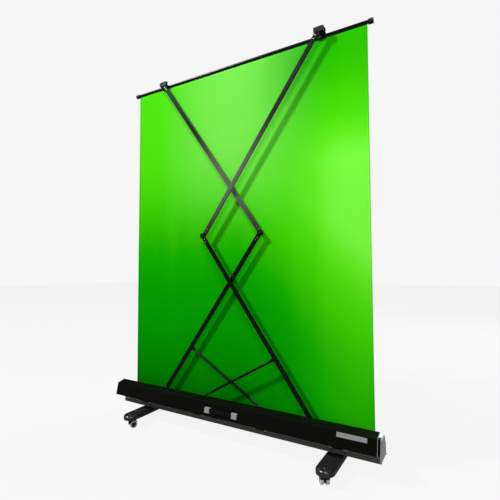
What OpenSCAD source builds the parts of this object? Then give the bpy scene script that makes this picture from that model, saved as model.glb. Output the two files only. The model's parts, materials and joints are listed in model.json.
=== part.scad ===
// Collapsible backdrop panel: a fabric screen that pulls up out of a floor case on two crossed knee arms.
// Axes: X along the case, -Y the face that is filmed, +Y the frame side, Z up. Z = 0 is the floor.

/* [Screen] */
// Width of the fabric
screen_w = 1500; // [1200:10:1530]
// Thickness of the fabric
screen_t = 0.4; // [0.3:0.1:0.8]
// Depth position of the hanging fabric
screen_y = -15; // [-16:0.5:-14]

/* [Case] */
// Length of the case over its end plates
case_len = 1574; // [1560:2:1700]
// Depth of the case at its foot
case_depth = 106; // [106:1:110]
// Height of the underside above the floor
case_z = 78; // [78:1:84]
// Height of the closed case
case_h = 97; // [97:1:104]
// Height of the tray's front wall
front_wall_h = 52; // [46:1:56]
// Height of the tray's rear wall
rear_wall_h = 24; // [20:1:25]
// Wall thickness of the extrusions
wall = 2; // [1.6:0.2:2.4]
// How far the lid stands open
lid_open = 78; // [76:1:84]

/* [Lifting frame] */
// Half distance between the arms' foot pivots
pivot_x = 524; // [510:1:530]
// Height of the foot pivots
pivot_z = 117; // [116:1:120]
// How far the elbows stand past the middle when raised
elbow_x = 181; // [160:1:200]
// Height of the elbows when raised
elbow_z = 1104; // [900:1:1200]
// Width of an arm's tube
arm_w = 24; // [20:1:24]
// Thickness of an arm's tube
arm_t = 9; // [8:0.5:9]
// Distance between neighbouring layers of arms
layer_pitch = 11.5; // [11.5:0.1:11.7]
// Depth position of the first layer of arms
layer_y = 4.5; // [4:0.1:4.5]
// Radius of the pivot pins
pin_r = 4; // [3:0.5:4]

/* [Gas springs] */
// Distance of the upper end along the arm from its foot pivot
strut_s = 425; // [400:5:440]
// Distance of the upper end below the arm's centre line
strut_drop = 24; // [22:1:26]
// Distance of the lower end past the middle
strut_foot_x = 360; // [340:5:370]
// Height of the lower end
strut_foot_z = 95; // [94:1:97]
// Radius of the cylinder
strut_r = 6.5; // [5.5:0.5:6.5]
// Radius of the rod
rod_r = 4; // [3:0.5:4]
// Length of the cylinder
strut_len = 410; // [380:5:415]

/* [Top bar] */
// Radius of the bar
bar_r = 9; // [8:0.5:10]
// Distance of the bar's centre below the head pivots
bar_drop = 13; // [12:0.5:14]

/* [Legs and casters] */
// Distance of each leg from the middle
leg_x = 585; // [560:1:600]
// Length of a leg
leg_len = 450; // [420:5:460]
// Width of a leg
leg_w = 84; // [80:1:90]
// Height of a leg's underside
leg_z = 50; // [49:1:52]
// Radius of the caster wheels
wheel_r = 20; // [18:0.5:20]
// Distance of the wheel axle from its swivel axis
trail = 16; // [12:0.5:18]
// How far the casters stand turned
caster_turn = 30; // [0:5:45]

/* [Hidden] */

$fn = 48;
gap = 0.2;          // clearance between neighbours that don't turn on each other
fit = 0.05;         // radial running clearance of a pin in its bore
eps = 0.1;          // overshoot of a cut

end_x = case_len / 2;
plate_t = 5;
plug_t = 12;
badge_w = 132;
front_y = -case_depth / 2;
rear_y = case_depth / 2;
floor_z = case_z + wall;
top_z = case_z + case_h;

// closed outline of the case above the tray: rear foot, rear top, front top, front shoulder
lean = 16;          // how far the rear wall leans in towards the top
brow = 21;          // how far the front shoulder is cut back
shoulder_z = case_z + front_wall_h;
hinge_y = rear_y + 4.8;
hinge_z = case_z + rear_wall_h + 1.9;
barrel_r = 3.6;
hinge_pin_r = 1.8;
leaf_xs = [-600, -200, 200, 600];
leaf_w = 90;

arm_len = norm([pivot_x + elbow_x, elbow_z - pivot_z]);
arm_angle = atan2(elbow_z - pivot_z, pivot_x + elbow_x);
head_z = 2 * elbow_z - pivot_z;
bar_z = head_z - bar_drop;
fork_slot = 4;
tongue_t = fork_slot - 2 * gap;
fit_r = arm_w / 2;
socket = 16;        // bare length of a fitting between its pivot and the tube
tube_wall = 1.5;

// layers, counted from the fabric: right upper, right lower, left upper, left lower
function layer(n) = layer_y + n * layer_pitch;
lower_y = [layer(1), layer(3)];
upper_y = [layer(0), layer(2)];

// gas spring ends, for the arm whose foot is at +X
spring_top = [pivot_x - strut_s * cos(arm_angle) - strut_drop * sin(arm_angle),
              pivot_z + strut_s * sin(arm_angle) - strut_drop * cos(arm_angle)];
spring_foot = [-strut_foot_x, strut_foot_z];
spring_len = norm(spring_foot - spring_top);
spring_angle = atan2(spring_top[1] - spring_foot[1], spring_top[0] - spring_foot[0]);
eye_r = 8;
eye_t = 5.6;
neck = 16;
eye_pin_r = 3;
slot_angle = 34.7;

roller_r = 11.5;
wrap_r = 12.8;
roller_y = screen_y - screen_t / 2 - wrap_r - gap;
roller_z = case_z + 21;
roller_half = end_x - 24;

leg_top = case_z - 3;
swivel_y = leg_len / 2 - 35;
wheel_t = 16;
wheel_gap = 9;
axle_r = 2.5;
stem_r = 5;

black = [0.05, 0.05, 0.055];
anodised = [0.09, 0.09, 0.095];
grey = [0.42, 0.42, 0.43];
steel = [0.66, 0.66, 0.68];
green = [0.13, 0.72, 0.10];

module along_x(x0, x1) { translate([x0, 0, 0]) rotate([90, 0, 90]) linear_extrude(x1 - x0) children(); }
module along_y(y0, y1) { translate([0, y1, 0]) rotate([90, 0, 0]) linear_extrude(y1 - y0) children(); }
module x_rod(x0, x1, y, z, r) { translate([x0, y, z]) rotate([0, 90, 0]) cylinder(h = x1 - x0, r = r); }
module y_rod(x, y0, y1, z, r) { translate([x, y0, z]) rotate([-90, 0, 0]) cylinder(h = y1 - y0, r = r); }
module both_sides() { children(); mirror([1, 0, 0]) children(); }
module stadium(w, len) {
    square([w, len - w], center = true);
    for (s = [-1, 1]) translate([0, s * (len - w) / 2]) circle(r = w / 2);
}

// ---- case ----

module base_tray() color(anodised) along_x(-end_x + plate_t, end_x - plate_t) {
    translate([front_y, case_z]) square([case_depth, wall]);
    translate([front_y, case_z]) square([wall, front_wall_h]);
    translate([rear_y - wall, case_z]) square([wall, rear_wall_h]);
    // bead along the top of the front wall and a rib that stiffens the rear wall
    translate([front_y, shoulder_z - 4]) square([4, 4]);
    translate([rear_y - 4, case_z + 8]) square([3, 2]);
    // screw channels in the corners
    for (s = [-1, 1]) translate([s * channel_y, channel_z]) difference() {
        square([5, 5], center = true);
        circle(r = 1.6);
    }
}

// full-profile plate that closes one end, drawn for +X
module end_plate() color(grey) difference() {
    along_x(end_x - plate_t + gap, end_x) end_outline();
    for (p = end_screw_points()) x_rod(end_x - plate_t, end_x + eps, p[0], p[1], 2.1);
}

// outline of the end plate: the inside of the closed lid above, the tray's outside below
module end_outline() polygon([[front_y, case_z], [rear_y, case_z], [rear_y, hinge_z - 5],
    [rear_y - 1.6, hinge_z + 3], [rear_y - lean - 2.3, top_z - 2.4],
    [front_y + brow + 1.6, top_z - 2.4], [front_y + 2.7, shoulder_z + 0.4], [front_y, shoulder_z]]);

channel_y = rear_y - 3.5;
channel_z = floor_z + 2;
function end_screw_points() = [[-channel_y, channel_z], [channel_y, channel_z],
    [rear_y - lean - 9, top_z - 12], [front_y + 12, case_z + 25]];

// block behind the end plate that carries the roller and guides the lid; low where the folded bar lies
module end_plug() color(black) difference() {
    along_x(end_x - plate_t - plug_t, end_x - plate_t - gap) polygon([
        [front_y + 9, floor_z + gap], [rear_y - 9, floor_z + gap], [rear_y - 9, hinge_z + 4],
        [rear_y - lean - 4, top_z - 3], [8, top_z - 3], [8, roller_z + 12],
        [front_y + 6, roller_z + 12], [front_y + 6, floor_z + 14], [front_y + 9, floor_z + 14]]);
    // pocket for the roller's shaft and bores for the plate's screws
    x_rod(end_x - plate_t - plug_t - eps, end_x - plate_t - 3, roller_y, roller_z, 5);
    for (p = end_screw_points()) x_rod(end_x - plate_t - 9, end_x, p[0], p[1], 1.7);
}

module end_screws() color(steel) both_sides() for (p = end_screw_points()) {
    x_rod(end_x + gap / 2, end_x + 1.6, p[0], p[1], 3.4);
    x_rod(end_x - plate_t - 8, end_x + gap, p[0], p[1], 1.5);
}

// tongue that stands on the tray's floor and carries one arm's foot, drawn for +X
module foot_bracket(y) color(black) difference() {
    translate([pivot_x, 0, 0]) union() {
        along_y(y - tongue_t / 2, y + tongue_t / 2) {
            translate([-9, floor_z + gap]) square([18, pivot_z - floor_z - gap]);
            translate([0, pivot_z]) circle(r = 9);
        }
        translate([-22, y - 6, floor_z + gap]) cube([44, 12, 3]);
        for (s = [-1, 1]) along_y(y - tongue_t / 2, y + tongue_t / 2)
            polygon([[s * 8, floor_z + 2], [s * 20, floor_z + 2], [s * 8, floor_z + 9]]);
    }
    y_rod(pivot_x, y - 10, y + 10, pivot_z, pin_r + fit);
}

module foot_pins() color(steel) {
    pivot_pin(pivot_x, lower_y[0], pivot_z);
    pivot_pin(-pivot_x, lower_y[1], pivot_z);
}

// pin through a forked end, with a thin head on each side
module pivot_pin(x, y, z) {
    y_rod(x, y - arm_t / 2 - gap, y + arm_t / 2 + gap, z, pin_r);
    for (s = [-1, 1]) translate([0, s * (arm_t / 2 + gap + 0.3), 0]) y_rod(x, y - 0.3, y + 0.3, z, 6);
}

// slotted cheeks that hold the lower end of one gas spring, drawn for the spring of the +X arm
module spring_saddle(y) color(steel) difference() {
    union() {
        translate([spring_foot[0] - 16, y - 7.5, floor_z + gap]) cube([32, 15, 2.6]);
        for (s = [-1, 1]) along_y(y + s * 6 - 1.5, y + s * 6 + 1.5)
            translate([spring_foot[0], 0]) polygon([
                [-14, floor_z + 2], [14, floor_z + 2], [9, strut_foot_z + 4],
                [3, strut_foot_z + 7], [-6, strut_foot_z + 7], [-12, strut_foot_z + 1]]);
    }
    y_rod(spring_foot[0], y - 9, y + 9, strut_foot_z, eye_pin_r + 0.35);
    // the slot runs out upwards, away from the spring
    along_y(y - 9, y + 9) translate([spring_foot[0], strut_foot_z]) rotate(180 - slot_angle)
        translate([0, -eye_pin_r - 2.3]) square([40, 2 * eye_pin_r + 2.5]);
}

module roller_brackets() color(black) both_sides() difference() {
    union() {
        along_x(end_x - 22, end_x - 18) polygon([[roller_y - 13, floor_z + gap],
            [roller_y + 13, floor_z + gap], [roller_y + 8, roller_z + 8], [roller_y - 8, roller_z + 8]]);
        translate([end_x - 30, roller_y - 13, floor_z + gap]) cube([12, 26, 2.5]);
    }
    x_rod(end_x - 23, end_x - 17, roller_y, roller_z, 4 + fit);
}

// ---- hinge ----

module hinge_leaves() color(steel) for (x = leaf_xs) difference() {
    union() {
        along_x(x - leaf_w / 2, x + leaf_w / 2) polygon([[rear_y + 0.1, case_z + 6],
            [rear_y + 1.6, case_z + 6], [rear_y + 1.6, hinge_z - 3], [hinge_y - 1, hinge_z - 1.5],
            [hinge_y - 2.5, hinge_z + 1], [rear_y + 0.1, hinge_z - 2]]);
        for (s = [-1, 1]) x_rod(x + s * 34 - 11, x + s * 34 + 11, hinge_y, hinge_z, barrel_r);
    }
    x_rod(x - 50, x + 50, hinge_y, hinge_z, hinge_pin_r + fit);
    translate([x - 23 - gap, rear_y + 0.9, hinge_z - 4.2]) cube([46 + 2 * gap, 12, 10]);
}

module hinge_pins() color(steel) for (x = leaf_xs)
    x_rod(x - leaf_w / 2, x + leaf_w / 2, hinge_y, hinge_z, hinge_pin_r);

// ---- latches ----
latch_xs = [-430, 430];
latch_pin_z = shoulder_z - 22;

module latch_plates() color(steel) for (x = latch_xs) difference() {
    union() {
        translate([x - 14, front_y - 1.6, latch_pin_z - 18]) cube([28, 1.5, 36]);
        for (s = [-1, 1]) translate([x + s * 12 - 1, front_y - 8, latch_pin_z - 4]) cube([2, 7, 8]);
    }
    x_rod(x - 15, x + 15, front_y - 5, latch_pin_z, 1.5 + fit);
}

module latch_lever(x) color(steel) {
    x_rod(x - 13, x + 13, front_y - 5, latch_pin_z, 1.5);
    translate([x - 10, front_y - 6.5, latch_pin_z - 31]) cube([20, 3, 32.2]);
    translate([x - 10, front_y - 9.5, latch_pin_z - 31]) cube([20, 3.1, 2]);
}

// ---- roller ----

module roller_tube() color(steel) difference() {
    x_rod(-roller_half, roller_half, roller_y, roller_z, roller_r);
    x_rod(-roller_half - eps, roller_half + eps, roller_y, roller_z, roller_r - 1.2);
}

module roller_plugs() color(black) both_sides() {
    x_rod(roller_half - 25, roller_half - gap, roller_y, roller_z, roller_r - 1.2 - fit);
    x_rod(roller_half - gap - eps, end_x - plate_t - 5, roller_y, roller_z, 4);
}

// cartridge inside the tube that holds the winding spring
module roller_spring() color(steel) {
    x_rod(-roller_half + 60, -roller_half + 360, roller_y, roller_z, 8);
    x_rod(-roller_half + 26, -roller_half + 60.1, roller_y, roller_z, 3);
}

module fabric_wrap() color(green) difference() {
    x_rod(-screen_w / 2, screen_w / 2, roller_y, roller_z, wrap_r);
    x_rod(-screen_w / 2 - eps, screen_w / 2 + eps, roller_y, roller_z, roller_r + 0.05);
}

// ---- lid ----

lid_foot = [rear_y + 1.5, hinge_z + 3];
lid_back = [rear_y - lean, top_z];
lid_brow = [front_y + brow, top_z];
lid_lip = [front_y, shoulder_z + 0.3];
handle_half = 83;
handle_y = 8;
// unit vectors along and out of the lid's rear face, and the lean of its front face
rear_slope = [lid_back[0] - lid_foot[0], lid_back[1] - lid_foot[1]] / norm(lid_back - lid_foot);
rear_out = [rear_slope[1], -rear_slope[0]];
brow_angle = atan2(lid_brow[0] - lid_lip[0], lid_brow[1] - lid_lip[1]);

// the lid is drawn closed and swung back about its hinge
module swung_lid() translate([0, hinge_y, hinge_z]) rotate([-lid_open, 0, 0])
    translate([0, -hinge_y, -hinge_z]) children();

module lid_panel() color(anodised) swung_lid() along_x(-end_x, end_x) polygon(concat(
    [lid_foot, lid_back, lid_brow, lid_lip],
    [lid_lip + [2.2, 0], lid_brow + [1.3, -wall], lid_back + [-1.6, -wall], lid_foot + [-2.1, -0.5]]));

module lid_hinge_leaves() color(steel) swung_lid() for (x = leaf_xs) difference() {
    union() {
        x_rod(x - 22.5, x + 22.5, hinge_y, hinge_z, barrel_r);
        along_x(x - 22.5, x + 22.5) polygon([[hinge_y - 1.5, hinge_z + 2], [hinge_y + 2, hinge_z + 2],
            lid_foot + 22 * rear_slope + 1.6 * rear_out, lid_foot + 22 * rear_slope + 0.1 * rear_out,
            lid_foot + 0.1 * rear_out]);
    }
    x_rod(x - 50, x + 50, hinge_y, hinge_z, hinge_pin_r + fit);
}

module lid_keepers() color(steel) swung_lid() for (x = latch_xs)
    translate([x, lid_lip[0] + 1.4, lid_lip[1] + 3]) rotate([-brow_angle, 0, 0])
        translate([-9, -5.1, -2]) cube([18, 5, 4]);

// blank plate in the corner of the lid's flat face
module lid_badge() color(steel) swung_lid() translate([-678, -16.2, top_z + 0.1])
    linear_extrude(0.8) square([badge_w, 20], center = true);

module handle_caps() color(grey) swung_lid() for (s = [-1, 1])
    translate([s * handle_half, handle_y, top_z + 0.1]) difference() {
        union() {
            translate([0, 0, 1]) cube([35, 30, 2], center = true);
            translate([s * 1.5, 0, 5]) cube([30, 27, 8], center = true);
        }
        // pocket that holds the strap's end
        translate([s * -12, 0, 4.5]) cube([34, 20.6, 4.6], center = true);
    }

module handle_strap() color(black) swung_lid()
    translate([-handle_half - 4, handle_y - 10, top_z + 2.6]) cube([2 * handle_half + 8, 20, 4]);

// ---- arms ----

// places a shape drawn along +X from its foot pivot as the arm of the +X foot
module raise(x, z, a, y) translate([x, y, z]) rotate([0, a, 0]) children();

// flat end with a round nose about the pivot; forked where slot is true
module nose(slot, plug_len, t) difference() {
    union() {
        rotate([90, 0, 0]) translate([0, 0, -t / 2]) linear_extrude(t) {
            circle(r = fit_r);
            translate([0, -fit_r]) square([socket, 2 * fit_r]);
        }
        translate([socket - 1, -t / 2 + tube_wall + 0.1, -fit_r + tube_wall + 0.1])
            cube([plug_len, t - 2 * tube_wall - 0.2, 2 * (fit_r - tube_wall - 0.1)]);
    }
    rotate([90, 0, 0]) translate([0, 0, -10]) cylinder(h = 20, r = pin_r + fit);
    if (slot) translate([-fit_r - 1, -fork_slot / 2, -fit_r - 1])
        cube([fit_r + 1 + 13, fork_slot, 2 * fit_r + 2]);
}

module arm_tube() color(anodised) difference() {
    translate([socket + gap, -arm_t / 2, -fit_r]) cube([arm_len - 2 * (socket + gap), arm_t, 2 * fit_r]);
    translate([0, -arm_t / 2 + tube_wall, -fit_r + tube_wall])
        cube([arm_len, arm_t - 2 * tube_wall, 2 * (fit_r - tube_wall)]);
}

// cheeks under a lower arm that hold the upper end of its gas spring
module spring_cheeks() {
    for (s = [-1, 1]) translate([strut_s, s * 3.75, 0]) rotate([90, 0, 0])
        translate([0, 0, -0.65]) linear_extrude(1.3) difference() {
            union() {
                translate([-8, -strut_drop]) square([16, strut_drop - fit_r - gap]);
                translate([0, -strut_drop]) circle(r = 8);
            }
            translate([0, -strut_drop]) circle(r = eye_pin_r + fit);
        }
    translate([strut_s - 8, -4.4, -fit_r - gap - 2]) cube([16, 8.8, 2]);
}

module arm_fittings(lower) color(black) {
    nose(lower, 40, arm_t);
    translate([arm_len, 0, 0]) mirror([1, 0, 0]) nose(!lower, 40, arm_t);
    if (lower) spring_cheeks();
}

module lower_arm(side) raise_lower(side) arm_tube();
module lower_fittings(side) raise_lower(side) arm_fittings(true);
module upper_arm(side) raise_upper(side) arm_tube();
module upper_fittings(side) raise_upper(side) arm_fittings(false);

// side 0 is the chain whose foot is at +X, side 1 the one at -X
module raise_lower(side) mirror([side, 0, 0]) translate([pivot_x, lower_y[side], pivot_z])
    mirror([1, 0, 0]) rotate([0, -arm_angle, 0]) children();
module raise_upper(side) mirror([side, 0, 0]) translate([-elbow_x, upper_y[side], elbow_z])
    rotate([0, -arm_angle, 0]) children();

module elbow_pin(side) color(steel) mirror([side, 0, 0]) {
    y0 = upper_y[side] - arm_t / 2;
    y1 = lower_y[side] + arm_t / 2;
    y_rod(-elbow_x, y0 - gap, y1 + gap, elbow_z, pin_r);
    y_rod(-elbow_x, y0 - 1.6, y0 - gap, elbow_z, 8);
    y_rod(-elbow_x, y1 + gap, y1 + 1.6, elbow_z, 8);
}

// ---- gas springs ----

// places a shape drawn along +X from the lower end towards the upper end
module place_spring(side) mirror([side, 0, 0])
    translate([spring_foot[0], lower_y[side], spring_foot[1]]) rotate([0, -spring_angle, 0]) children();

// flat end of a spring with a round eye about the pivot
module eye() along_y(-eye_t / 2, eye_t / 2) {
    circle(r = eye_r);
    translate([0, -4]) square([neck, 8]);
}

module spring_cylinder(side) color(black) place_spring(side) {
    difference() {
        union() {
            x_rod(spring_len - neck - strut_len, spring_len - neck + 0.5, 0, 0, strut_r);
            translate([spring_len, 0, 0]) mirror([1, 0, 0]) eye();
        }
        x_rod(spring_len - neck - strut_len - eps, spring_len - neck - 12, 0, 0, rod_r + 0.3);
    }
    y_rod(spring_len, -4.3, 4.3, 0, eye_pin_r);
}

module spring_rod(side) color(steel) place_spring(side) {
    x_rod(neck - 0.5, spring_len - neck - strut_len + 30, 0, 0, rod_r);
    eye();
    y_rod(0, -8.5, 8.5, 0, eye_pin_r);
}

// ---- top bar ----

module top_bar() color(anodised) difference() {
    x_rod(-end_x + 14, end_x - 14, screen_y, bar_z, bar_r);
    x_rod(-end_x, end_x, screen_y, bar_z, bar_r - 1.6);
    translate([-end_x, screen_y - 1, bar_z - bar_r - 1]) cube([case_len, 2, 4]);
}

module bar_caps() color(black) both_sides() difference() {
    x_rod(end_x - 32, end_x - 9, screen_y, bar_z, bar_r + 4);
    x_rod(end_x - 33, end_x - 13.8, screen_y, bar_z, bar_r + gap);
}

// block on the bar with a tongue that reaches back to one arm's head
module head_bracket(x, y) difference() {
    union() {
        translate([x - 25, screen_y + bar_r + gap, head_z - 22]) cube([50, 3, 42]);
        translate([x - 25, screen_y - bar_r - gap - 2, bar_z + bar_r + gap])
            cube([50, 2 * bar_r + 2 * gap + 5, 3]);
        along_y(y - tongue_t / 2, y + tongue_t / 2) translate([x, head_z]) circle(r = 9);
        along_y(screen_y + bar_r + 1, y + tongue_t / 2) translate([x, head_z + 16.5])
            square([30, 7], center = true);
        along_y(y - tongue_t / 2, y + tongue_t / 2) translate([x, head_z + 9])
            square([18, 18], center = true);
    }
    y_rod(x, screen_y + bar_r + 3.5, y + 10, head_z, pin_r + fit);
}

module head_brackets() color(black) {
    head_bracket(pivot_x, upper_y[0]);
    head_bracket(-pivot_x, upper_y[1]);
}

module head_pins() color(steel) {
    pivot_pin(pivot_x, upper_y[0], head_z);
    pivot_pin(-pivot_x, upper_y[1], head_z);
}

module screen_fabric() color(green)
    translate([-screen_w / 2, screen_y - screen_t / 2, roller_z + 1])
        cube([screen_w, screen_t, bar_z - bar_r - roller_z + 1.2]);

// ---- legs and casters ----

module leg_plates() color(steel) both_sides() difference() {
    translate([leg_x, 0, leg_top + gap]) cylinder(h = case_z - leg_top - 2 * gap, r = 26);
    translate([leg_x, 0, leg_top - 1]) cylinder(h = 6, r = 5 + fit);
}

module leg_bolts() color(steel) both_sides() translate([leg_x, 0, 0]) {
    translate([0, 0, leg_z + 6]) cylinder(h = case_z - leg_z - 6 - gap, r = 5);
    translate([0, 0, leg_z + 3]) cylinder(h = 4, r = 9);
}

module leg(side) color(black) mirror([side, 0, 0]) translate([leg_x, 0, 0]) difference() {
    translate([0, 0, leg_z]) linear_extrude(leg_top - leg_z) stadium(leg_w, leg_len);
    translate([0, 0, leg_z - 1]) cylinder(h = 40, r = 5 + fit);
    translate([0, 0, leg_z - 1]) cylinder(h = 9, r = 9 + gap);
    for (s = [-1, 1]) translate([0, s * swivel_y, leg_z - 1]) cylinder(h = 19, r = stem_r + fit);
}

// hooded body between two wheels, with the stem it swivels on
module caster(side, end) color(black) place_caster(side, end) {
    translate([0, 0, wheel_r + 16]) cylinder(h = leg_z + 17 - wheel_r - 16, r = stem_r);
    translate([0, 0, 2 * wheel_r + 1]) cylinder(h = leg_z - 2 * wheel_r - 1 - gap, r = 13);
    along_x(-wheel_gap / 2 + 0.4, wheel_gap / 2 - 0.4) difference() {
        union() {
            translate([trail, wheel_r]) circle(r = wheel_r - 5);
            translate([-10, wheel_r]) square([20, wheel_r + 2]);
        }
        translate([-30, -1]) square([60, 5]);
    }
    along_x(-wheel_gap / 2 - wheel_t, wheel_gap / 2 + wheel_t) difference() {
        translate([trail, wheel_r]) circle(r = wheel_r + 4);
        translate([trail, wheel_r]) circle(r = wheel_r + 1.2);
        translate([-40, -10]) square([80, wheel_r + 18]);
        translate([trail - 60, 2 * wheel_r + 3]) square([120, 30]);
    }
    x_rod(-wheel_gap / 2 - wheel_t + 1, wheel_gap / 2 + wheel_t - 1, trail, wheel_r, axle_r);
}

module place_caster(side, end) mirror([side, 0, 0])
    translate([leg_x, (end == 0 ? -1 : 1) * swivel_y, 0]) rotate([0, 0, 180 - caster_turn]) children();

module wheels(side, end) color(grey) place_caster(side, end) for (s = [-1, 1]) difference() {
    translate([s * (wheel_gap + wheel_t) / 2, trail, wheel_r]) rotate([0, 90, 0])
        cylinder(h = wheel_t, r = wheel_r, center = true);
    x_rod(-40, 40, trail, wheel_r, axle_r + fit);
}

base_tray();
mirror([1, 0, 0]) end_plate();  // end_plate_left
end_plate();  // end_plate_right
mirror([1, 0, 0]) end_plug();  // end_plug_left
end_plug();  // end_plug_right
end_screws();
mirror([1, 0, 0]) foot_bracket(lower_y[1]);  // foot_bracket_left
foot_bracket(lower_y[0]);  // foot_bracket_right
foot_pins();
mirror([1, 0, 0]) spring_saddle(lower_y[1]);  // spring_saddle_left
spring_saddle(lower_y[0]);  // spring_saddle_right
roller_brackets();
hinge_leaves();
hinge_pins();
latch_plates();
leg_plates();
leg_bolts();
roller_tube();
roller_plugs();
roller_spring();
fabric_wrap();
lid_panel();
lid_hinge_leaves();
lid_keepers();
lid_badge();
handle_caps();
handle_strap();
latch_lever(latch_xs[0]);  // latch_lever_left
latch_lever(latch_xs[1]);  // latch_lever_right
lower_arm(1);  // lower_arm_left
lower_fittings(1);  // lower_fittings_left
lower_arm(0);  // lower_arm_right
lower_fittings(0);  // lower_fittings_right
upper_arm(1);  // upper_arm_left
upper_fittings(1);  // upper_fittings_left
upper_arm(0);  // upper_arm_right
upper_fittings(0);  // upper_fittings_right
elbow_pin(1);  // elbow_pin_left
elbow_pin(0);  // elbow_pin_right
spring_cylinder(1);  // spring_cylinder_left
spring_cylinder(0);  // spring_cylinder_right
spring_rod(1);  // spring_rod_left
spring_rod(0);  // spring_rod_right
top_bar();
bar_caps();
head_brackets();
head_pins();
screen_fabric();
leg(1);  // leg_left
leg(0);  // leg_right
caster(1, 0);  // caster_left_front
caster(1, 1);  // caster_left_rear
caster(0, 0);  // caster_right_front
caster(0, 1);  // caster_right_rear
wheels(1, 0);  // wheels_left_front
wheels(1, 1);  // wheels_left_rear
wheels(0, 0);  // wheels_right_front
wheels(0, 1);  // wheels_right_rear
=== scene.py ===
import bpy
import bmesh
import json
import math
from mathutils import Matrix, Vector


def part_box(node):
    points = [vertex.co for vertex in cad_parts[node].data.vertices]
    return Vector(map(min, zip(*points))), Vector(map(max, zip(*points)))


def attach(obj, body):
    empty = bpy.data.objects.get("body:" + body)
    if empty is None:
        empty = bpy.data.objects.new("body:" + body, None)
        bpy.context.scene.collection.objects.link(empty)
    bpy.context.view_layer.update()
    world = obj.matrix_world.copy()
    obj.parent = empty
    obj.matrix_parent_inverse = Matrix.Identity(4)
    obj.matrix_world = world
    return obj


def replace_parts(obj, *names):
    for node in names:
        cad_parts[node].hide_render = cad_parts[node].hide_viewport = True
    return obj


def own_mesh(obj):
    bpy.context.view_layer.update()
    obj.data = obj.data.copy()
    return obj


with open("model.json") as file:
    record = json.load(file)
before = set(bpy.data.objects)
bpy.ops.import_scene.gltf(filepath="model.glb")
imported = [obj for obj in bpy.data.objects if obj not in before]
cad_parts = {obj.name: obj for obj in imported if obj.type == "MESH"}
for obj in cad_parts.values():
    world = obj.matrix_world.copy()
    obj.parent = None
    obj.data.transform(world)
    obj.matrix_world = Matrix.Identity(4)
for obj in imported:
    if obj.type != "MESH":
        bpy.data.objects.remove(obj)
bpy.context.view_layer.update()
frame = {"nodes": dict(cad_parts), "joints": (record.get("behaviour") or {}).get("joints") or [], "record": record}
NODES = frame["nodes"]
SLOT_OF = {p["node"]: p["material_slot"] for p in frame["record"]["subparts"]}
JOINTS = {j["name"]: j for j in frame["joints"]}
SIDES = {"left": -1, "right": 1}
TRAY_RIM_Z = 0.102      # top of the tray's rear wall
CASE_HALF = 0.787       # half the length of the lid and of the case with its end plates
TINY = 0.00001          # points closer than this are one point


# ---- camera ----

CAM_POS = Vector((-1.1406, 1.7537, 0.9160))
CAM_FORWARD = Vector((0.5057, -0.8613, 0.0491)).normalized()
CAM_ROLL = math.radians(-0.2)
SENSOR_MM = 36.0
LENS_MM = 27.06984

cam = bpy.data.cameras.new("camera")
cam.sensor_fit = "HORIZONTAL"
cam.sensor_width = SENSOR_MM
cam.lens = LENS_MM
cam.clip_start = 0.05
cam.clip_end = 60.0
camera = bpy.data.objects.new("camera", cam)
bpy.context.scene.collection.objects.link(camera)
turn = CAM_FORWARD.to_track_quat("-Z", "Y").to_matrix().to_4x4()
camera.matrix_world = Matrix.Translation(CAM_POS) @ turn @ Matrix.Rotation(CAM_ROLL, 4, "Z")
bpy.context.scene.camera = camera


# ---- materials ----

def linear(shade):
    """Linear colour of an sRGB one given as 0 to 255."""
    return tuple((v / 255 / 12.92) if v < 10.3 else ((v / 255 + 0.055) / 1.055) ** 2.4 for v in shade)


EVEN = (1.0, 1.0, 1.0)
ALONG_X = (0.02, 1.0, 1.0)      # noise drawn out along X
DRAWN_X = (0.01, 1.0, 1.0)      # and twice as far


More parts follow.
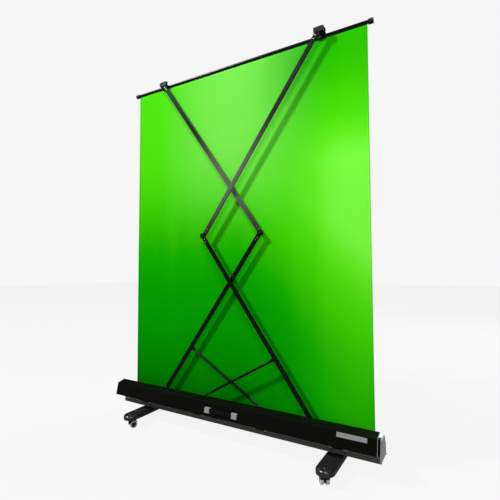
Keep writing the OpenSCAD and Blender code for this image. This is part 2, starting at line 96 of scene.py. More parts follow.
class Shader:
    """A node material, with small helpers for the patterns that the pieces share."""

    def __init__(self, name, color, rough, metallic=0.0):
        self.mat = bpy.data.materials.new(name)
        self.mat.use_nodes = True
        self.nodes = self.mat.node_tree.nodes
        self.links = self.mat.node_tree.links
        self.bsdf = next(n for n in self.nodes if n.type == "BSDF_PRINCIPLED")
        self.bsdf.inputs["Metallic"].default_value = metallic
        self.coords = self.nodes.new("ShaderNodeTexCoord").outputs["Object"]
        self.color = self.rgb(color)
        self.rough = rough
        self.height = None

    def rgb(self, color):
        """A fixed colour, linear."""
        n = self.nodes.new("ShaderNodeRGB")
        n.outputs[0].default_value = (*color, 1.0)
        return n.outputs[0]

    def math(self, op, a, b=0.0, clamp=False):
        """One sum on sockets or plain numbers."""
        n = self.nodes.new("ShaderNodeMath")
        n.operation = op
        n.use_clamp = clamp
        for socket, v in zip(n.inputs, (a, b)):
            if isinstance(v, (int, float)):
                socket.default_value = v
            else:
                self.links.new(v, socket)
        return n.outputs[0]

    def axis(self, which):
        """The X, Y or Z place on the object."""
        n = self.nodes.new("ShaderNodeSeparateXYZ")
        self.links.new(self.coords, n.inputs[0])
        return n.outputs["XYZ".index(which)]

    def span(self, value, low, high, out_low=0.0, out_high=1.0):
        """A smooth step from out_low to out_high as value goes from low to high."""
        n = self.nodes.new("ShaderNodeMapRange")
        n.interpolation_type = "SMOOTHSTEP"
        self.links.new(value, n.inputs["Value"])
        for key, v in zip(("From Min", "From Max", "To Min", "To Max"), (low, high, out_low, out_high)):
            n.inputs[key].default_value = v
        return n.outputs[0]

    def noise(self, scale, detail=4.0, stretch=EVEN):
        """Noise from 0 to 1; a small stretch along an axis draws it out along that axis."""
        m = self.nodes.new("ShaderNodeMapping")
        m.inputs["Scale"].default_value = stretch
        self.links.new(self.coords, m.inputs["Vector"])
        n = self.nodes.new("ShaderNodeTexNoise")
        n.inputs["Scale"].default_value = scale
        n.inputs["Detail"].default_value = detail
        self.links.new(m.outputs[0], n.inputs["Vector"])
        return n.outputs["Fac"]

    def ramp(self, value, stops):
        """Colour read off a ramp of (place, sRGB 0 to 255) stops."""
        n = self.nodes.new("ShaderNodeValToRGB")
        points = n.color_ramp.elements
        while len(points) < len(stops):
            points.new(0.5)
        for point, (place, shade) in zip(points, stops):
            point.position = place
            point.color = (*linear(shade), 1.0)
        self.links.new(value, n.inputs["Fac"])
        self.color = n.outputs["Color"]
        return self

    def tint(self, factor, color, amount=1.0):
        """Mixes a colour in where factor is high."""
        n = self.nodes.new("ShaderNodeMix")
        n.data_type = "RGBA"
        scaled = self.math("MULTIPLY", factor, amount, clamp=True)
        self.links.new(scaled, n.inputs["Factor"])
        self.links.new(self.color, n.inputs["A"])
        self.links.new(self.rgb(color), n.inputs["B"])
        self.color = n.outputs["Result"]
        return self

    def vary(self, scale, amount, stretch=EVEN):
        """Roughness that wanders by amount about its middle value."""
        wander = self.math("MULTIPLY", self.math("SUBTRACT", self.noise(scale, 3.0, stretch), 0.5), amount)
        self.rough = self.math("ADD", wander, self.rough, clamp=True)
        return self

    def bump(self, height, metres):
        """Adds relief, height times metres."""
        scaled = self.math("MULTIPLY", height, metres)
        self.height = scaled if self.height is None else self.math("ADD", self.height, scaled)
        return self

    def ends(self, color, amount):
        """Sawn ends, the faces that look along X."""
        g = self.nodes.new("ShaderNodeNewGeometry")
        n = self.nodes.new("ShaderNodeSeparateXYZ")
        self.links.new(g.outputs["Normal"], n.inputs[0])
        return self.tint(self.span(self.math("ABSOLUTE", n.outputs[0]), 0.9, 0.97), color, amount)

    def shine(self, level):
        """Sets how strongly a smooth surface mirrors."""
        self.bsdf.inputs["Specular IOR Level"].default_value = level
        return self

    def done(self):
        """Joins colour, roughness and relief to the surface and gives the material."""
        self.links.new(self.color, self.bsdf.inputs["Base Color"])
        if isinstance(self.rough, (int, float)):
            self.bsdf.inputs["Roughness"].default_value = self.rough
        else:
            self.links.new(self.rough, self.bsdf.inputs["Roughness"])
        if self.height is not None:
            n = self.nodes.new("ShaderNodeBump")
            n.inputs["Distance"].default_value = 1.0
            self.links.new(self.height, n.inputs["Height"])
            self.links.new(n.outputs[0], self.bsdf.inputs["Normal"])
        return self.mat


def black_aluminium():
    s = Shader("black_aluminium", (0.0018, 0.0022, 0.0015), 0.40)
    s.tint(s.noise(5.0, 2.0, (0.2, 1.0, 1.0)), (0.0034, 0.0038, 0.0030), 0.5)
    end = s.span(s.math("ABSOLUTE", s.axis("X")), CASE_HALF - 0.0022, CASE_HALF - 0.0016)
    s.tint(end, (0.30, 0.30, 0.30), 0.6)
    s.shine(0.07)
    s.vary(600.0, 0.06, ALONG_X).bump(s.noise(1400.0, 2.0, DRAWN_X), 0.000004)
    return s.ends((0.40, 0.40, 0.41), 0.75).done()


def arm_aluminium():
    s = Shader("arm_aluminium", (0.0020, 0.0022, 0.0020), 0.30)
    s.tint(s.noise(14.0, 3.0), (0.0060, 0.0064, 0.0060), 0.6)
    # painted highlight: a lighter stretch about the upper crossing
    painted_sheen = s.span(s.math("ABSOLUTE", s.math("SUBTRACT", s.axis("Z"), 1.40)), 0.36, 0.04)
    s.tint(painted_sheen, (0.105, 0.110, 0.100), 0.85)
    s.shine(0.15)
    s.vary(500.0, 0.12).bump(s.noise(1200.0, 2.0), 0.00001)
    return s.done()


def tray_aluminium():
    s = Shader("tray_aluminium", (0.085, 0.085, 0.080), 0.42)
    s.tint(s.noise(14.0, 3.0, (0.1, 1.0, 1.0)), (0.120, 0.120, 0.114), 0.6)
    rim = s.span(s.axis("Z"), TRAY_RIM_Z - 0.0022, TRAY_RIM_Z - 0.0012)
    s.tint(rim, (0.30, 0.30, 0.29), 0.8)
    s.shine(0.3)
    s.vary(600.0, 0.14, ALONG_X).bump(s.noise(1400.0, 2.0, DRAWN_X), 0.00001)
    return s.done()


def grey_plate():
    s = Shader("grey_plate", (0.34, 0.34, 0.34), 0.5, 0.1)
    s.tint(s.noise(40.0), (0.46, 0.46, 0.46), 0.6)
    return s.vary(160.0, 0.2).bump(s.noise(1500.0), 0.00004).done()


def black_plastic():
    s = Shader("black_plastic", (0.004, 0.004, 0.0042), 0.34)
    s.tint(s.noise(30.0), (0.008, 0.008, 0.009), 0.5)
    s.shine(0.3)
    return s.vary(220.0, 0.16).bump(s.noise(2200.0, 2.0), 0.00003).done()


def black_steel():
    s = Shader("black_steel", (0.003, 0.003, 0.0034), 0.38)
    s.tint(s.noise(24.0), (0.006, 0.006, 0.007), 0.5)
    s.shine(0.14)
    return s.vary(130.0, 0.16).bump(s.noise(700.0), 0.00005).done()


def bright_steel():
    s = Shader("bright_steel", (0.48, 0.48, 0.50), 0.32, 1.0)
    s.tint(s.noise(90.0), (0.30, 0.31, 0.34), 0.7)
    return s.vary(300.0, 0.25).bump(s.noise(1800.0), 0.00003).done()


def rod_steel():
    s = Shader("rod_steel", (0.035, 0.035, 0.038), 0.22, 0.8)
    s.tint(s.noise(50.0), (0.06, 0.06, 0.065), 0.5)
    return s.vary(200.0, 0.1).bump(s.noise(900.0), 0.00001).done()


def roller_aluminium():
    s = Shader("roller_aluminium", (0.55, 0.55, 0.57), 0.35, 1.0)
    s.tint(s.noise(30.0), (0.40, 0.40, 0.42), 0.5)
    return s.vary(500.0, 0.2, ALONG_X).done()


def badge():
    s = Shader("badge", (0.24, 0.24, 0.24), 0.4, 0.3)
    s.tint(s.noise(30.0), (0.32, 0.32, 0.32), 0.5)
    return s.vary(900.0, 0.25, ALONG_X).bump(s.noise(1500.0, 2.0, ALONG_X), 0.00003).done()


def silver_plastic():
    s = Shader("silver_plastic", (0.27, 0.27, 0.28), 0.36, 0.3)
    s.tint(s.noise(50.0), (0.36, 0.36, 0.37), 0.5)
    return s.vary(180.0, 0.2).bump(s.noise(1700.0), 0.00004).done()


def wheel_grey():
    s = Shader("wheel_grey", (0.76, 0.76, 0.75), 0.5)
    s.tint(s.span(s.noise(45.0), 0.45, 0.7), (0.60, 0.59, 0.58), 0.5)
    return s.vary(140.0, 0.2).bump(s.noise(800.0), 0.0001).done()


def hub_black():
    s = Shader("hub_black", (0.012, 0.012, 0.013), 0.4)
    s.tint(s.noise(60.0), (0.03, 0.03, 0.03), 0.5)
    return s.vary(200.0, 0.2).bump(s.noise(1200.0), 0.00005).done()


def weave(s, pitch, metres):
    """Warp and weft threads: two crossed waves, higher where they cross."""
    k = 2.0 * math.pi / pitch
    warp = s.math("SINE", s.math("MULTIPLY", s.axis("X"), k))
    weft = s.math("SINE", s.math("MULTIPLY", s.axis("Z"), k))
    return s.bump(s.math("MULTIPLY", warp, weft), metres)


# painted light and shade of the screen, from its shaded foot to its brightest lit patch, sRGB
SCREEN_PAINTED_LIGHT = [(0.0, (0, 86, 0)), (0.16, (1, 122, 0)), (0.34, (3, 138, 0)), (0.46, (16, 154, 1)),
                 (0.58, (44, 170, 2)), (0.70, (56, 185, 4)), (0.82, (68, 196, 12)), (0.91, (88, 208, 30)),
                 (1.0, (116, 228, 66))]


def screen_green():
    """Knitted cloth in painted light and shade: painted shade below, painted light upwards, towards -X and about
    the middle, with a patch of painted shade near the top.
    """
    s = Shader("screen_green", (0.0015, 0.30, 0.0008), 0.86)
    x, z = s.axis("X"), s.axis("Z")
    far = s.math("MAXIMUM", s.math("SUBTRACT", -0.02, x), 0.0)
    # the painted light wanders in vertical streaks and broad bands
    streak = s.math("SUBTRACT", s.noise(7.0, 3.0, (1.0, 1.0, 0.07)), 0.5)
    bands = s.math("SUBTRACT", s.noise(2.2, 1.0, (1.0, 1.0, 0.25)), 0.5)
    height = s.math("ADD", z, s.math("MULTIPLY", far, 0.80))
    uneven = s.math("ADD", s.math("MULTIPLY", streak, 0.16), s.math("MULTIPLY", bands, 0.12))
    height = s.math("ADD", height, uneven)
    # painted light and shade: darker below, brighter upwards and towards -X
    level = s.span(height, 0.10, 0.75, 0.05, 0.36)
    level = s.math("ADD", level, s.span(height, 0.72, 1.62, 0.0, 0.46))
    level = s.math("ADD", level, s.span(far, 0.25, 0.62, 0.0, 0.15))
    # painted shade: a duller patch near the top towards -X
    painted_shade_top = s.math("MULTIPLY", s.span(z, 1.42, 2.02), s.span(x, 0.12, -0.42))
    level = s.math("SUBTRACT", level, s.math("MULTIPLY", painted_shade_top, 0.44))
    s.ramp(s.math("MAXIMUM", level, 0.0, clamp=True), SCREEN_PAINTED_LIGHT)
    # painted highlight: a lighter patch about the middle of the cloth
    off_middle = s.math("ABSOLUTE", s.math("ADD", x, -0.02))
    middle = s.math("MULTIPLY", s.span(off_middle, 0.62, 0.0), s.span(z, 1.05, 1.72))
    s.tint(middle, linear((112, 204, 76)), 0.85)
    s.tint(s.noise(260.0, 2.0), linear((20, 150, 8)), 0.08)
    s.shine(0.0)
    weave(s, 0.0012, 0.00005)
    return s.vary(40.0, 0.06).done()


def webbing():
    s = Shader("webbing", (0.0022, 0.0022, 0.0022), 0.5)
    s.tint(s.noise(120.0), (0.0050, 0.0050, 0.0050), 0.6)
    s.shine(0.08)
    rib = s.math("SINE", s.math("MULTIPLY", s.axis("X"), 2.0 * math.pi / 0.0036))
    return s.bump(rib, 0.0001).vary(260.0, 0.2).done()


def leg_black():
    s = Shader("leg_black", (0.012, 0.012, 0.012), 0.26)
    s.tint(s.noise(26.0), (0.018, 0.018, 0.018), 0.5)
    s.shine(0.7)
    return s.vary(160.0, 0.12).bump(s.noise(1500.0, 2.0), 0.00002).done()


# painted shade: the dark inside of a recessed hexagon socket, laid on a flat hexagon
def socket_painted_shade():
    s = Shader("socket_painted_shade", (0.006, 0.006, 0.006), 0.6)
    return s.tint(s.noise(300.0), (0.012, 0.012, 0.012), 0.5).done()


MAKERS = {
    "arm_aluminium": arm_aluminium, "tray_aluminium": tray_aluminium, "leg_black": leg_black,
    "socket_painted_shade": socket_painted_shade, "black_aluminium": black_aluminium, "grey_plate": grey_plate,
    "black_plastic": black_plastic, "black_steel": black_steel, "bright_steel": bright_steel,
    "rod_steel": rod_steel, "roller_aluminium": roller_aluminium, "badge": badge,
    "silver_plastic": silver_plastic, "screen": screen_green, "webbing": webbing,
    "wheel_grey": wheel_grey, "hub_black": hub_black,
}
MATS = {name: make() for name, make in MAKERS.items()}


# ---- places on the CAD nodes ----

# Y and Z of the screws in each end plate
END_SCREWS = [(-0.0495, 0.082), (0.0495, 0.082), (0.028, 0.163), (-0.041, 0.103)]
HINGE_XS = (-0.6, -0.2, 0.2, 0.6)
LEAF_SCREW_STEP = 0.030             # from a hinge's middle to its screws, on the case
LEAF_SCREW_YZ = (0.0546, 0.0915)
LID_SCREW_STEP = 0.014              # the same on the lid
LID_SCREW_YZ = (0.0510, 0.1214)     # on the closed lid
LID_REAR_OUT = Vector((0.0, 0.9685, 0.2491))


# ---- finish of the CAD nodes ----

# width of the rounded edge, in metres, by the start of a node's name
ROUNDED = {
    "handle_caps": 0.0012, "end_plate": 0.0008, "base_tray": 0.0004, "lid_panel": 0.0005,
    "lower_arm": 0.0011, "upper_arm": 0.0011, "head_brackets": 0.0006, "bar_caps": 0.0015,
    "caster": 0.0008, "lower_fittings": 0.0005, "upper_fittings": 0.0005, "elbow_pin": 0.0003,
    "spring_cylinder": 0.0006, "foot_bracket": 0.0004, "end_plug": 0.0008, "lid_badge": 0.0002,
}
# nodes whose look differs from the rest of their slot
OWN_LOOK = {
    "base_tray": "tray_aluminium", "hinge_leaves": "tray_aluminium",
    "lower_arm_left": "arm_aluminium", "lower_arm_right": "arm_aluminium",
    "upper_arm_left": "arm_aluminium", "upper_arm_right": "arm_aluminium", "top_bar": "arm_aluminium",
    "elbow_pin_left": "black_steel", "elbow_pin_right": "black_steel", "head_pins": "black_steel",
    "foot_pins": "black_steel",
}
SHARP = math.radians(35.0)      # steeper edges than this are rounded
for name, node in NODES.items():
    node.data.materials.clear()
    node.data.materials.append(MATS[OWN_LOOK.get(name, SLOT_OF[name])])
    width = next((w for start, w in ROUNDED.items() if name.startswith(start)), 0.0)
    if width:
        weld = node.modifiers.new("weld", "WELD")
        weld.merge_threshold = TINY
        bevel = node.modifiers.new("bevel", "BEVEL")
        bevel.width = width
        bevel.segments = 2
        bevel.limit_method = "ANGLE"
        bevel.angle_limit = SHARP


# ---- pieces ----

def piece(name, bm, slot, body, material=None, smooth=True):
    """Turns a bmesh into an object with a material that rides a body."""
    mesh = bpy.data.meshes.new(name)
    bm.to_mesh(mesh)
    bm.free()
    obj = bpy.data.objects.new(name, mesh)
    bpy.context.scene.collection.objects.link(obj)
    mesh.materials.append(MATS[material or slot])
    for p in mesh.polygons:
        p.use_smooth = smooth
    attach(obj, body)
    return obj


def turned(pos, axis):
    """Puts the local X axis along axis, with its origin at pos."""
    return Matrix.Translation(Vector(pos)) @ Vector(axis).to_track_quat("X", "Z").to_matrix().to_4x4()


def lathe(bm, profile, place, steps=48):
    """Turns (along, radius) points about the local X axis, then puts them where place says."""
    rings = []
    for i in range(steps):
        c, s = math.cos(2.0 * math.pi * i / steps), math.sin(2.0 * math.pi * i / steps)
        rings.append([bm.verts.new(place @ Vector((x, r * c, r * s))) for x, r in profile])
    for i in range(steps):
        here, there = rings[i], rings[(i + 1) % steps]
        for k in range(len(profile) - 1):
            bm.faces.new((here[k], here[k + 1], there[k + 1], there[k]))


def merge(bm):
    """Makes one point of each bunch, such as a lathe's points on its axis."""
    bmesh.ops.remove_doubles(bm, verts=bm.verts, dist=TINY)


def bridge(bm, rings):
    """Skins a row of closed rings that have the same number of points."""
    for here, there in zip(rings, rings[1:]):
        for k in range(len(here)):
            n = (k + 1) % len(here)
            bm.faces.new((here[k], here[n], there[n], there[k]))


def slab(bm, low, high):
    """A box between two corners."""
    centre = [(a + b) / 2 for a, b in zip(low, high)]
    size = [b - a for a, b in zip(low, high)]
    bmesh.ops.create_cube(bm, size=1.0, matrix=Matrix.Translation(centre) @ Matrix.Diagonal((*size, 1.0)))


def hex_face(bm, place, x, radius):
    """A flat hexagon that faces along the local X axis."""
    corners = [place @ Vector((x, radius * math.cos(k * math.pi / 3), radius * math.sin(k * math.pi / 3)))
               for k in range(6)]
    bm.faces.new([bm.verts.new(c) for c in corners])


def stadium(centre, half_w, half_len, offset, steps=28, stations=24):
    """Outline of a leg seen from above, grown by offset, starting at its +X side."""
    r, reach = half_w + offset, half_len - half_w
    points = []
    for turn in (0.0, math.pi):
        flip = math.cos(turn)
        for k in range(steps + 1):
            a = turn + math.pi * k / steps
            points.append((centre.x + r * math.cos(a), centre.y + flip * reach + r * math.sin(a)))
        for k in range(1, stations):
            # evenly turned stations, so that a ring at the same bearings is round
            b = math.atan2(reach, half_w) * (1.0 - 2.0 * k / stations)
            points.append((centre.x - flip * r, centre.y + flip * half_w * math.tan(b)))
    return points


# the screen: one flat sheet of knitted cloth, a little uneven, with sewn edges
lo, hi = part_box("screen_fabric")
SCREEN_Y = (lo.y + hi.y) / 2
COLS, ROWS = 90, 120
CLOTH = 0.0004
HEM = 0.012
HEM_OUT, HEM_CLOTH = 0.0003, 0.0005     # a hem stands off the sheet by this much, and is this thick


def ripple(x, z):
    """How far the cloth stands off its plane: a slow wave that fades towards the bar and the roller."""
    t = (z - lo.z) / (hi.z - lo.z)
    calm = math.sin(math.pi * t) ** 2
    edge = abs(x) / hi.x
    wave = 0.5 * math.sin(5.1 * x + 1.3 * z) + 0.3 * math.sin(11.0 * x - 2.1 * z + 0.8)
    return calm * (0.0012 * wave + 0.0014 * edge ** 6)


def cloth(name, x0, x1, cols, offset, thick):
    """A strip of cloth as high as the screen, that stands off its plane by offset."""
    bm = bmesh.new()
    grid = []
    for j in range(ROWS + 1):
        z = lo.z + (hi.z - lo.z) * j / ROWS
        grid.append([])
        for i in range(cols + 1):
            x = x0 + (x1 - x0) * i / cols
            grid[j].append(bm.verts.new((x, SCREEN_Y + ripple(x, z) + offset, z)))
    for j in range(ROWS):
        for i in range(cols):
            bm.faces.new((grid[j][i], grid[j + 1][i], grid[j + 1][i + 1], grid[j][i + 1]))
    obj = piece(name, bm, "screen", "case")
    solid = obj.modifiers.new("thickness", "SOLIDIFY")
    solid.thickness = thick
    solid.offset = 0.0
    return obj


screen = cloth("screen_sheet", lo.x, hi.x, COLS, 0.0, CLOTH)
hems = [
    cloth("screen_hem_right", hi.x - HEM, hi.x, 2, HEM_OUT, HEM_CLOTH),
    cloth("screen_hem_left", lo.x, lo.x + HEM, 2, HEM_OUT, HEM_CLOTH),
]
for obj in [screen] + hems:
    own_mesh(obj)
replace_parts(screen, "screen_fabric")

# the casters' wheels: rounded treads with a dark hub cap in each
WHEEL_OUT = 0.0125      # from the middle of a caster to the middle of each of its wheels
TREAD = [(-0.008, 0.0145), (-0.008, 0.0185), (-0.0066, 0.0198), (-0.003, 0.02), (0.003, 0.02),
         (0.0062, 0.0196), (0.0078, 0.018), (0.008, 0.0148), (0.0072, 0.0145), (-0.0072, 0.0145),
         (-0.008, 0.0145)]
HUB = [(-0.0070, 0.0144), (-0.0072, 0.003), (0.0055, 0.003), (0.0060, 0.0055), (0.0074, 0.0062),
       (0.0074, 0.0098), (0.0050, 0.0112), (0.0050, 0.0128), (0.0072, 0.0136), (0.0070, 0.0144)]
for side in SIDES:
    for end in ("front", "rear"):
        spin = JOINTS[f"wheel_spin_{side}_{end}"]
        axle = turned(spin["pos_m"], spin["axis"])
        tread, hub = bmesh.new(), bmesh.new()
        for s in (-1, 1):
            place = axle @ Matrix.Translation((s * WHEEL_OUT, 0, 0)) @ Matrix.Scale(s, 4, (1, 0, 0))
            lathe(tread, TREAD, place)
            lathe(hub, HUB, place)
        body = f"wheels_{side}_{end}"
        treads = piece(f"caster_treads_{side}_{end}", tread, "wheel_grey", body)
        piece(f"caster_hubs_{side}_{end}", hub, "wheel_grey", body, material="hub_black")
        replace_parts(treads, body)


# ---- details ----

class Screws:
    """Domed heads with hexagon sockets drawn as flat hexagons in painted shade, gathered into two pieces of one
    body.
    """

    def __init__(self, name, body, steel):
        self.name, self.body, self.steel = name, body, steel
        self.heads, self.sockets = bmesh.new(), bmesh.new()

    def add(self, pos, axis, radius, height):
        place = turned(pos, axis)
        lathe(self.heads, [(-0.0002, radius), (height * 0.45, radius), (height * 0.85, radius * 0.82),
                           (height, radius * 0.55), (height, 0.0)], place, 24)
        hex_face(self.sockets, place, height + 0.00006, radius * 0.45)

    def close(self):
        for bm in (self.heads, self.sockets):
            merge(bm)
        piece(self.name, self.heads, self.steel, self.body)
        piece(self.name + "_sockets", self.sockets, self.steel, self.body,
              material="socket_painted_shade", smooth=False)


# the lid's pieces are laid out on the closed lid and swung back with it
HINGE_Y, HINGE_Z = JOINTS["lid_hinge"]["pos_m"][1:]
LID_OPEN = math.radians(-78.0)
SWING = (Matrix.Translation((0, HINGE_Y, HINGE_Z)) @ Matrix.Rotation(LID_OPEN, 4, "X")
         @ Matrix.Translation((0, -HINGE_Y, -HINGE_Z)))

# handle strap: a band with cut corners and moulded ribs, bowed a little; placed on the closed lid
STRAP_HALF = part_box("handle_strap")[1].x
STRAP_Y = (-0.002, 0.018)
STRAP_Z = (0.1777, 0.1817)
STRAP_CORNER = 0.0012
STRAP_STEPS = 232                       # four of them to a rib
BOW, BOW_HALF = 0.0030, 0.062           # how far the band rises in its middle, and how far out it starts to
RIB, RIBBED_HALF = 0.0005, 0.058
bm = bmesh.new()
rings = []
for i in range(STRAP_STEPS + 1):
    x = STRAP_HALF * (2.0 * i / STRAP_STEPS - 1.0)
    bow = BOW * max(0.0, 1.0 - (x / BOW_HALF) ** 2) ** 1.5
    rib = RIB if i % 4 in (1, 2) and abs(x) < RIBBED_HALF else 0.0
    (y0, y1), z0, z1, c = STRAP_Y, STRAP_Z[0] + bow, STRAP_Z[1] + bow + rib, STRAP_CORNER
    outline = [(y0 + c, z0), (y1 - c, z0), (y1, z0 + c), (y1, z1 - c),
               (y1 - c, z1), (y0 + c, z1), (y0, z1 - c), (y0, z0 + c)]
    rings.append([bm.verts.new(SWING @ Vector((x, y, z))) for y, z in outline])
bridge(bm, rings)
bm.faces.new(rings[0])
bm.faces.new(rings[-1])
bmesh.ops.recalc_face_normals(bm, faces=bm.faces)
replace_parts(piece("handle_strap_ribbed", bm, "webbing", "lid", smooth=False), "handle_strap")

# end plate screws: domed heads over the plain ones
SUNK = 0.0001
head_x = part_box("end_screws")[1].x - SUNK
screws = Screws("end_screw_heads", "case", "bright_steel")
for y, z in END_SCREWS:
    for s in (-1, 1):
        screws.add((s * head_x, y, z), (s, 0, 0), 0.0032, 0.0012)
screws.close()

# hinge screws, two in each leaf of the case and of the lid
screws = Screws("hinge_screws", "case", "black_steel")
for x in HINGE_XS:
    for s in (-1, 1):
        screws.add((x + s * LEAF_SCREW_STEP, *LEAF_SCREW_YZ), (0, 1, 0), 0.0034, 0.0014)
screws.close()
screws = Screws("lid_hinge_screws", "lid", "black_steel")
lid_out = SWING.to_3x3() @ LID_REAR_OUT
for x in HINGE_XS:
    for s in (-1, 1):
        screws.add(SWING @ Vector((x + s * LID_SCREW_STEP, *LID_SCREW_YZ)), lid_out, 0.0030, 0.0012)
screws.close()

# elbows: a wide flat cover under each pin's head, and a hexagon socket in the head, drawn as a flat hexagon in
# painted shade
ELBOW_COVER = [(-0.0013, 0.0040), (-0.0013, 0.0150), (-0.0006, 0.0152), (-0.0003, 0.0146), (-0.0002, 0.0090),
               (-0.0002, 0.0040)]
for side in SIDES:
    body = f"lower_arm_{side}"
    elbow = Vector(JOINTS[f"elbow_{side}"]["pos_m"])
    place = turned((elbow.x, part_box(f"elbow_pin_{side}")[1].y, elbow.z), (0, 1, 0))
    bm = bmesh.new()
    lathe(bm, ELBOW_COVER, place)
    piece(f"elbow_cover_{side}", bm, "black_steel", body)
    bm = bmesh.new()
    hex_face(bm, place, 0.00008, 0.0034)
    piece(f"elbow_socket_{side}", bm, "bright_steel", body, material="socket_painted_shade", smooth=False)

# low pad on the right lower arm, just above where the arms cross
PAD_REACH = 0.926       # from the foot hinge along the arm
PAD = [(-0.0002, 0.0095), (0.0006, 0.0095), (0.0011, 0.0088), (0.0012, 0.0050), (0.0012, 0.0)]
foot, elbow = (Vector(JOINTS[name]["pos_m"]) for name in ("frame_fold", "elbow_right"))
ARM_LENGTH = math.hypot(elbow.x - foot.x, elbow.z - foot.z)
spot = foot + (elbow - foot) * Vector((1.0, 0.0, 1.0)) * (PAD_REACH / ARM_LENGTH)
bm = bmesh.new()
lathe(bm, PAD, turned((spot.x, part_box("lower_arm_right")[1].y, spot.z), (0, 1, 0)), 32)
merge(bm)
piece("arm_pad_right", bm, "black_plastic", "lower_arm_right")

# rivets that hold the fittings in the ends of each arm
RIVET = [(-0.0002, 0.0026), (0.0003, 0.0026), (0.0007, 0.0018), (0.0008, 0.0)]
RIVET_REACHES = (0.027, 0.045, ARM_LENGTH - 0.045, ARM_LENGTH - 0.027)
for side in SIDES:
    foot = Vector(JOINTS["frame_fold" if side == "right" else "foot_hinge_left"]["pos_m"])
    elbow = Vector(JOINTS[f"elbow_{side}"]["pos_m"])
    head = Vector((foot.x, 0.0, 2.0 * elbow.z - foot.z))
    for part, start, stop in (("lower", foot, elbow), ("upper", elbow, head)):
        face_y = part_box(f"{part}_arm_{side}")[1].y
        along = Vector((stop.x - start.x, 0.0, stop.z - start.z)).normalized()
        bm = bmesh.new()
        for reach in RIVET_REACHES:
            spot = start + along * reach
            lathe(bm, RIVET, turned((spot.x, face_y, spot.z), (0, 1, 0)), 20)
        merge(bm)
        piece(f"{part}_arm_rivets_{side}", bm, "bright_steel", f"{part}_arm_{side}")

# head brackets: a hood over each pivot, with a rear plate, a roof and an outer cheek beside its own arm only
HOOD_HALF = 0.026           # half its width
HOOD_GAP = 0.0011           # clear of the arm's outer face
HOOD_PLATE = 0.0018         # thickness of the rear plate
HOOD_FRONT_Y = -0.0060      # the roof starts at the bar
HOOD_CHEEK_Y = 0.0118       # depth of the cheek, less than the gap to the other chain's arms
HOOD_CHEEK_X = 0.0205       # from the pivot to the cheek's inner face
LAP = 0.0001                # how far the plates run into each other
head = Vector(JOINTS["bar_hinge"]["pos_m"])
foot_z, roof_z, top_z = head.z - 0.0102, head.z + 0.0130, head.z + 0.0150
bm = bmesh.new()
for side, sign in SIDES.items():
    x = sign * head.x
    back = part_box(f"upper_fittings_{side}")[1].y + HOOD_GAP
    slab(bm, (x - HOOD_HALF, back, foot_z), (x + HOOD_HALF, back + HOOD_PLATE, top_z))
    slab(bm, (x - HOOD_HALF, HOOD_FRONT_Y, roof_z), (x + HOOD_HALF, back + LAP, top_z))
    near, far = sorted((x + sign * HOOD_CHEEK_X, x + sign * HOOD_HALF))
    slab(bm, (near, back - HOOD_CHEEK_Y, foot_z), (far, back + LAP, roof_z + LAP))
hoods = piece("head_hoods", bm, "black_steel", "top_bar", smooth=False)
edges = hoods.modifiers.new("bevel", "BEVEL")
edges.width = 0.0006
edges.segments = 2

# gas springs: a tapered rod guide at the open end of each cylinder
SPRING_NECK = 0.016         # from the top pivot to the cylinder
SPRING_TUBE = 0.410         # length of the cylinder
GUIDE = [(-0.0010, 0.0064), (0.0005, 0.0064), (0.0035, 0.0056), (0.0075, 0.0052), (0.0080, 0.0046),
         (0.0080, 0.0043), (0.0010, 0.0043)]
for side in SIDES:
    down = -Vector(JOINTS[f"spring_stroke_{side}"]["axis"]).normalized()
    open_end = Vector(JOINTS[f"spring_top_{side}"]["pos_m"]) + down * (SPRING_NECK + SPRING_TUBE)
    bm = bmesh.new()
    lathe(bm, GUIDE, turned(open_end, down))
    piece(f"spring_guide_{side}", bm, "black_steel", f"spring_cylinder_{side}", material="black_plastic")

# legs: moulded shells with a broad soft shoulder, open below, with a bore for the bolt
SHOULDER = 0.011
SHOULDER_STEPS = 8
SHELL = 0.003               # wall
TOP_WALL = 0.006
BORE, BORE_DEPTH = 0.0053, 0.017
LIP_IN, LIP_OUT = 0.0006, 0.0008    # how much the lower edge is broken, inside and outside
for side in SIDES:
    centre = Vector(JOINTS[f"leg_swivel_{side}"]["pos_m"])
    low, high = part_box(f"leg_{side}")
    half_w, half_len = (high.x - low.x) / 2, (high.y - low.y) / 2
    # each layer is how far its outline is grown and how high it is: up the inside's wall, round its foot,
    # then up the outside and over the shoulder
    layers = [(-SHELL, high.z - TOP_WALL), (-SHELL, low.z + LIP_IN), (-SHELL + LIP_IN, low.z),
              (-LIP_OUT, low.z), (0.0, low.z + LIP_OUT)]
    for k in range(SHOULDER_STEPS + 1):
        a = math.pi / 2 * k / SHOULDER_STEPS
        layers.append((-SHOULDER * (1 - math.cos(a)), high.z - SHOULDER * (1 - math.sin(a))))
    bm = bmesh.new()
    rings = [[bm.verts.new((x, y, z)) for x, y in stadium(centre, half_w, half_len, offset)]
             for offset, z in layers]
    bearings = [math.atan2(v.co.y - centre.y, v.co.x - centre.x) for v in rings[-1]]
    for z in (high.z, high.z - BORE_DEPTH):
        rings.append([bm.verts.new((centre.x + BORE * math.cos(a), centre.y + BORE * math.sin(a), z))
                      for a in bearings])
    bridge(bm, rings)
    bmesh.ops.recalc_face_normals(bm, faces=bm.faces)
    shell = piece(f"leg_shell_{side}", bm, "black_plastic", f"leg_{side}", material="leg_black")
    sharp = shell.modifiers.new("edges", "EDGE_SPLIT")
    sharp.split_angle = math.radians(40.0)
    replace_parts(shell, f"leg_{side}")

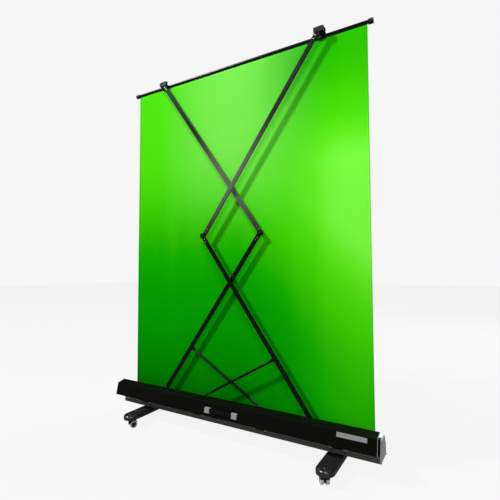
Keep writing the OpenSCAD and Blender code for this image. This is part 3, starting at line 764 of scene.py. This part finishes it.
# legs: a domed cover over each caster's stem
STEM_COVER = [(-0.0003, 0.0095), (0.0006, 0.0095), (0.0014, 0.0085), (0.0019, 0.0055), (0.0021, 0.0)]
for side in SIDES:
    leg_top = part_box(f"leg_{side}")[1].z
    bm = bmesh.new()
    for end in ("front", "rear"):
        stem = Vector(JOINTS[f"caster_swivel_{side}_{end}"]["pos_m"])
        lathe(bm, STEM_COVER, turned((stem.x, stem.y, leg_top), (0, 0, 1)), 32)
    merge(bm)
    piece(f"leg_covers_{side}", bm, "black_plastic", f"leg_{side}", material="leg_black")


# ---- floor and light ----

PALE = 0.922                # what the camera sees around the object
FLOOR_GREY = 0.14           # what the object is lit by from below
FLOOR_FAINT = 0.045         # what the camera sees of the shadows
FLOOR_GLOW = 0.945
AROUND = 0.27               # light from all around
MIRRORED = 0.05             # what shiny surfaces mirror of it
FLOOR_HALF = 20.0


def grey(level):
    return (level, level, level, 1.0)


def by_ray(tree, kind, yes, no):
    """Joins two shaders: what rays of one kind meet, and what all others meet."""
    path = tree.nodes.new("ShaderNodeLightPath")
    mix = tree.nodes.new("ShaderNodeMixShader")
    tree.links.new(path.outputs[kind], mix.inputs[0])
    tree.links.new(no, mix.inputs[1])
    tree.links.new(yes, mix.inputs[2])
    return mix.outputs[0]


floor_mat = bpy.data.materials.new("floor")
floor_mat.use_nodes = True
tree = floor_mat.node_tree
plain = tree.nodes["Principled BSDF"]
plain.inputs["Base Color"].default_value = grey(FLOOR_GREY)
plain.inputs["Roughness"].default_value = 1.0
faint = tree.nodes.new("ShaderNodeBsdfDiffuse")
faint.inputs["Color"].default_value = grey(FLOOR_FAINT)
glow = tree.nodes.new("ShaderNodeEmission")
glow.inputs["Color"].default_value = grey(PALE)
glow.inputs["Strength"].default_value = FLOOR_GLOW
both = tree.nodes.new("ShaderNodeAddShader")
tree.links.new(faint.outputs[0], both.inputs[0])
tree.links.new(glow.outputs[0], both.inputs[1])
tree.links.new(by_ray(tree, "Is Camera Ray", both.outputs[0], plain.outputs[0]),
               tree.nodes["Material Output"].inputs["Surface"])
bm = bmesh.new()
bmesh.ops.create_grid(bm, x_segments=1, y_segments=1, size=FLOOR_HALF)
mesh = bpy.data.meshes.new("floor")
bm.to_mesh(mesh)
bm.free()
mesh.materials.append(floor_mat)
floor = bpy.data.objects.new("floor", mesh)
bpy.context.scene.collection.objects.link(floor)

world = bpy.data.worlds.new("studio")
bpy.context.scene.world = world
world.use_nodes = True
tree = world.node_tree
backdrop = tree.nodes["Background"]
backdrop.inputs["Color"].default_value = grey(PALE)
around = tree.nodes.new("ShaderNodeBackground")
around.inputs["Color"].default_value = grey(1.0)
around.inputs["Strength"].default_value = AROUND
mirrored = tree.nodes.new("ShaderNodeBackground")
mirrored.inputs["Color"].default_value = grey(1.0)
mirrored.inputs["Strength"].default_value = MIRRORED
surround = by_ray(tree, "Is Glossy Ray", mirrored.outputs[0], around.outputs[0])
tree.links.new(by_ray(tree, "Is Camera Ray", backdrop.outputs[0], surround),
               tree.nodes["World Output"].inputs["Surface"])


def area(name, pos, aim, size, watts):
    """A square lamp at pos that looks at aim."""
    lamp = bpy.data.lights.new(name, "AREA")
    lamp.shape = "SQUARE"
    lamp.size = size
    lamp.energy = watts
    obj = bpy.data.objects.new(name, lamp)
    obj.location = pos
    obj.rotation_euler = (Vector(aim) - Vector(pos)).to_track_quat("-Z", "Y").to_euler()
    bpy.context.scene.collection.objects.link(obj)


area("key", (4.6, 4.6, 7.2), (0.0, 0.0, 1.2), 0.9, 1000.0)
area("top", (-1.35, 2.3, 3.6), (-0.3, 0.2, 0.1), 1.1, 55.0)
area("fill", (-2.4, 3.2, 1.6), (0.0, 0.0, 0.8), 2.5, 30.0)
area("front", (-2.5, -4.8, 3.2), (0.0, 0.0, 1.0), 2.5, 260.0)
bpy.context.scene.view_settings.view_transform = "Standard"
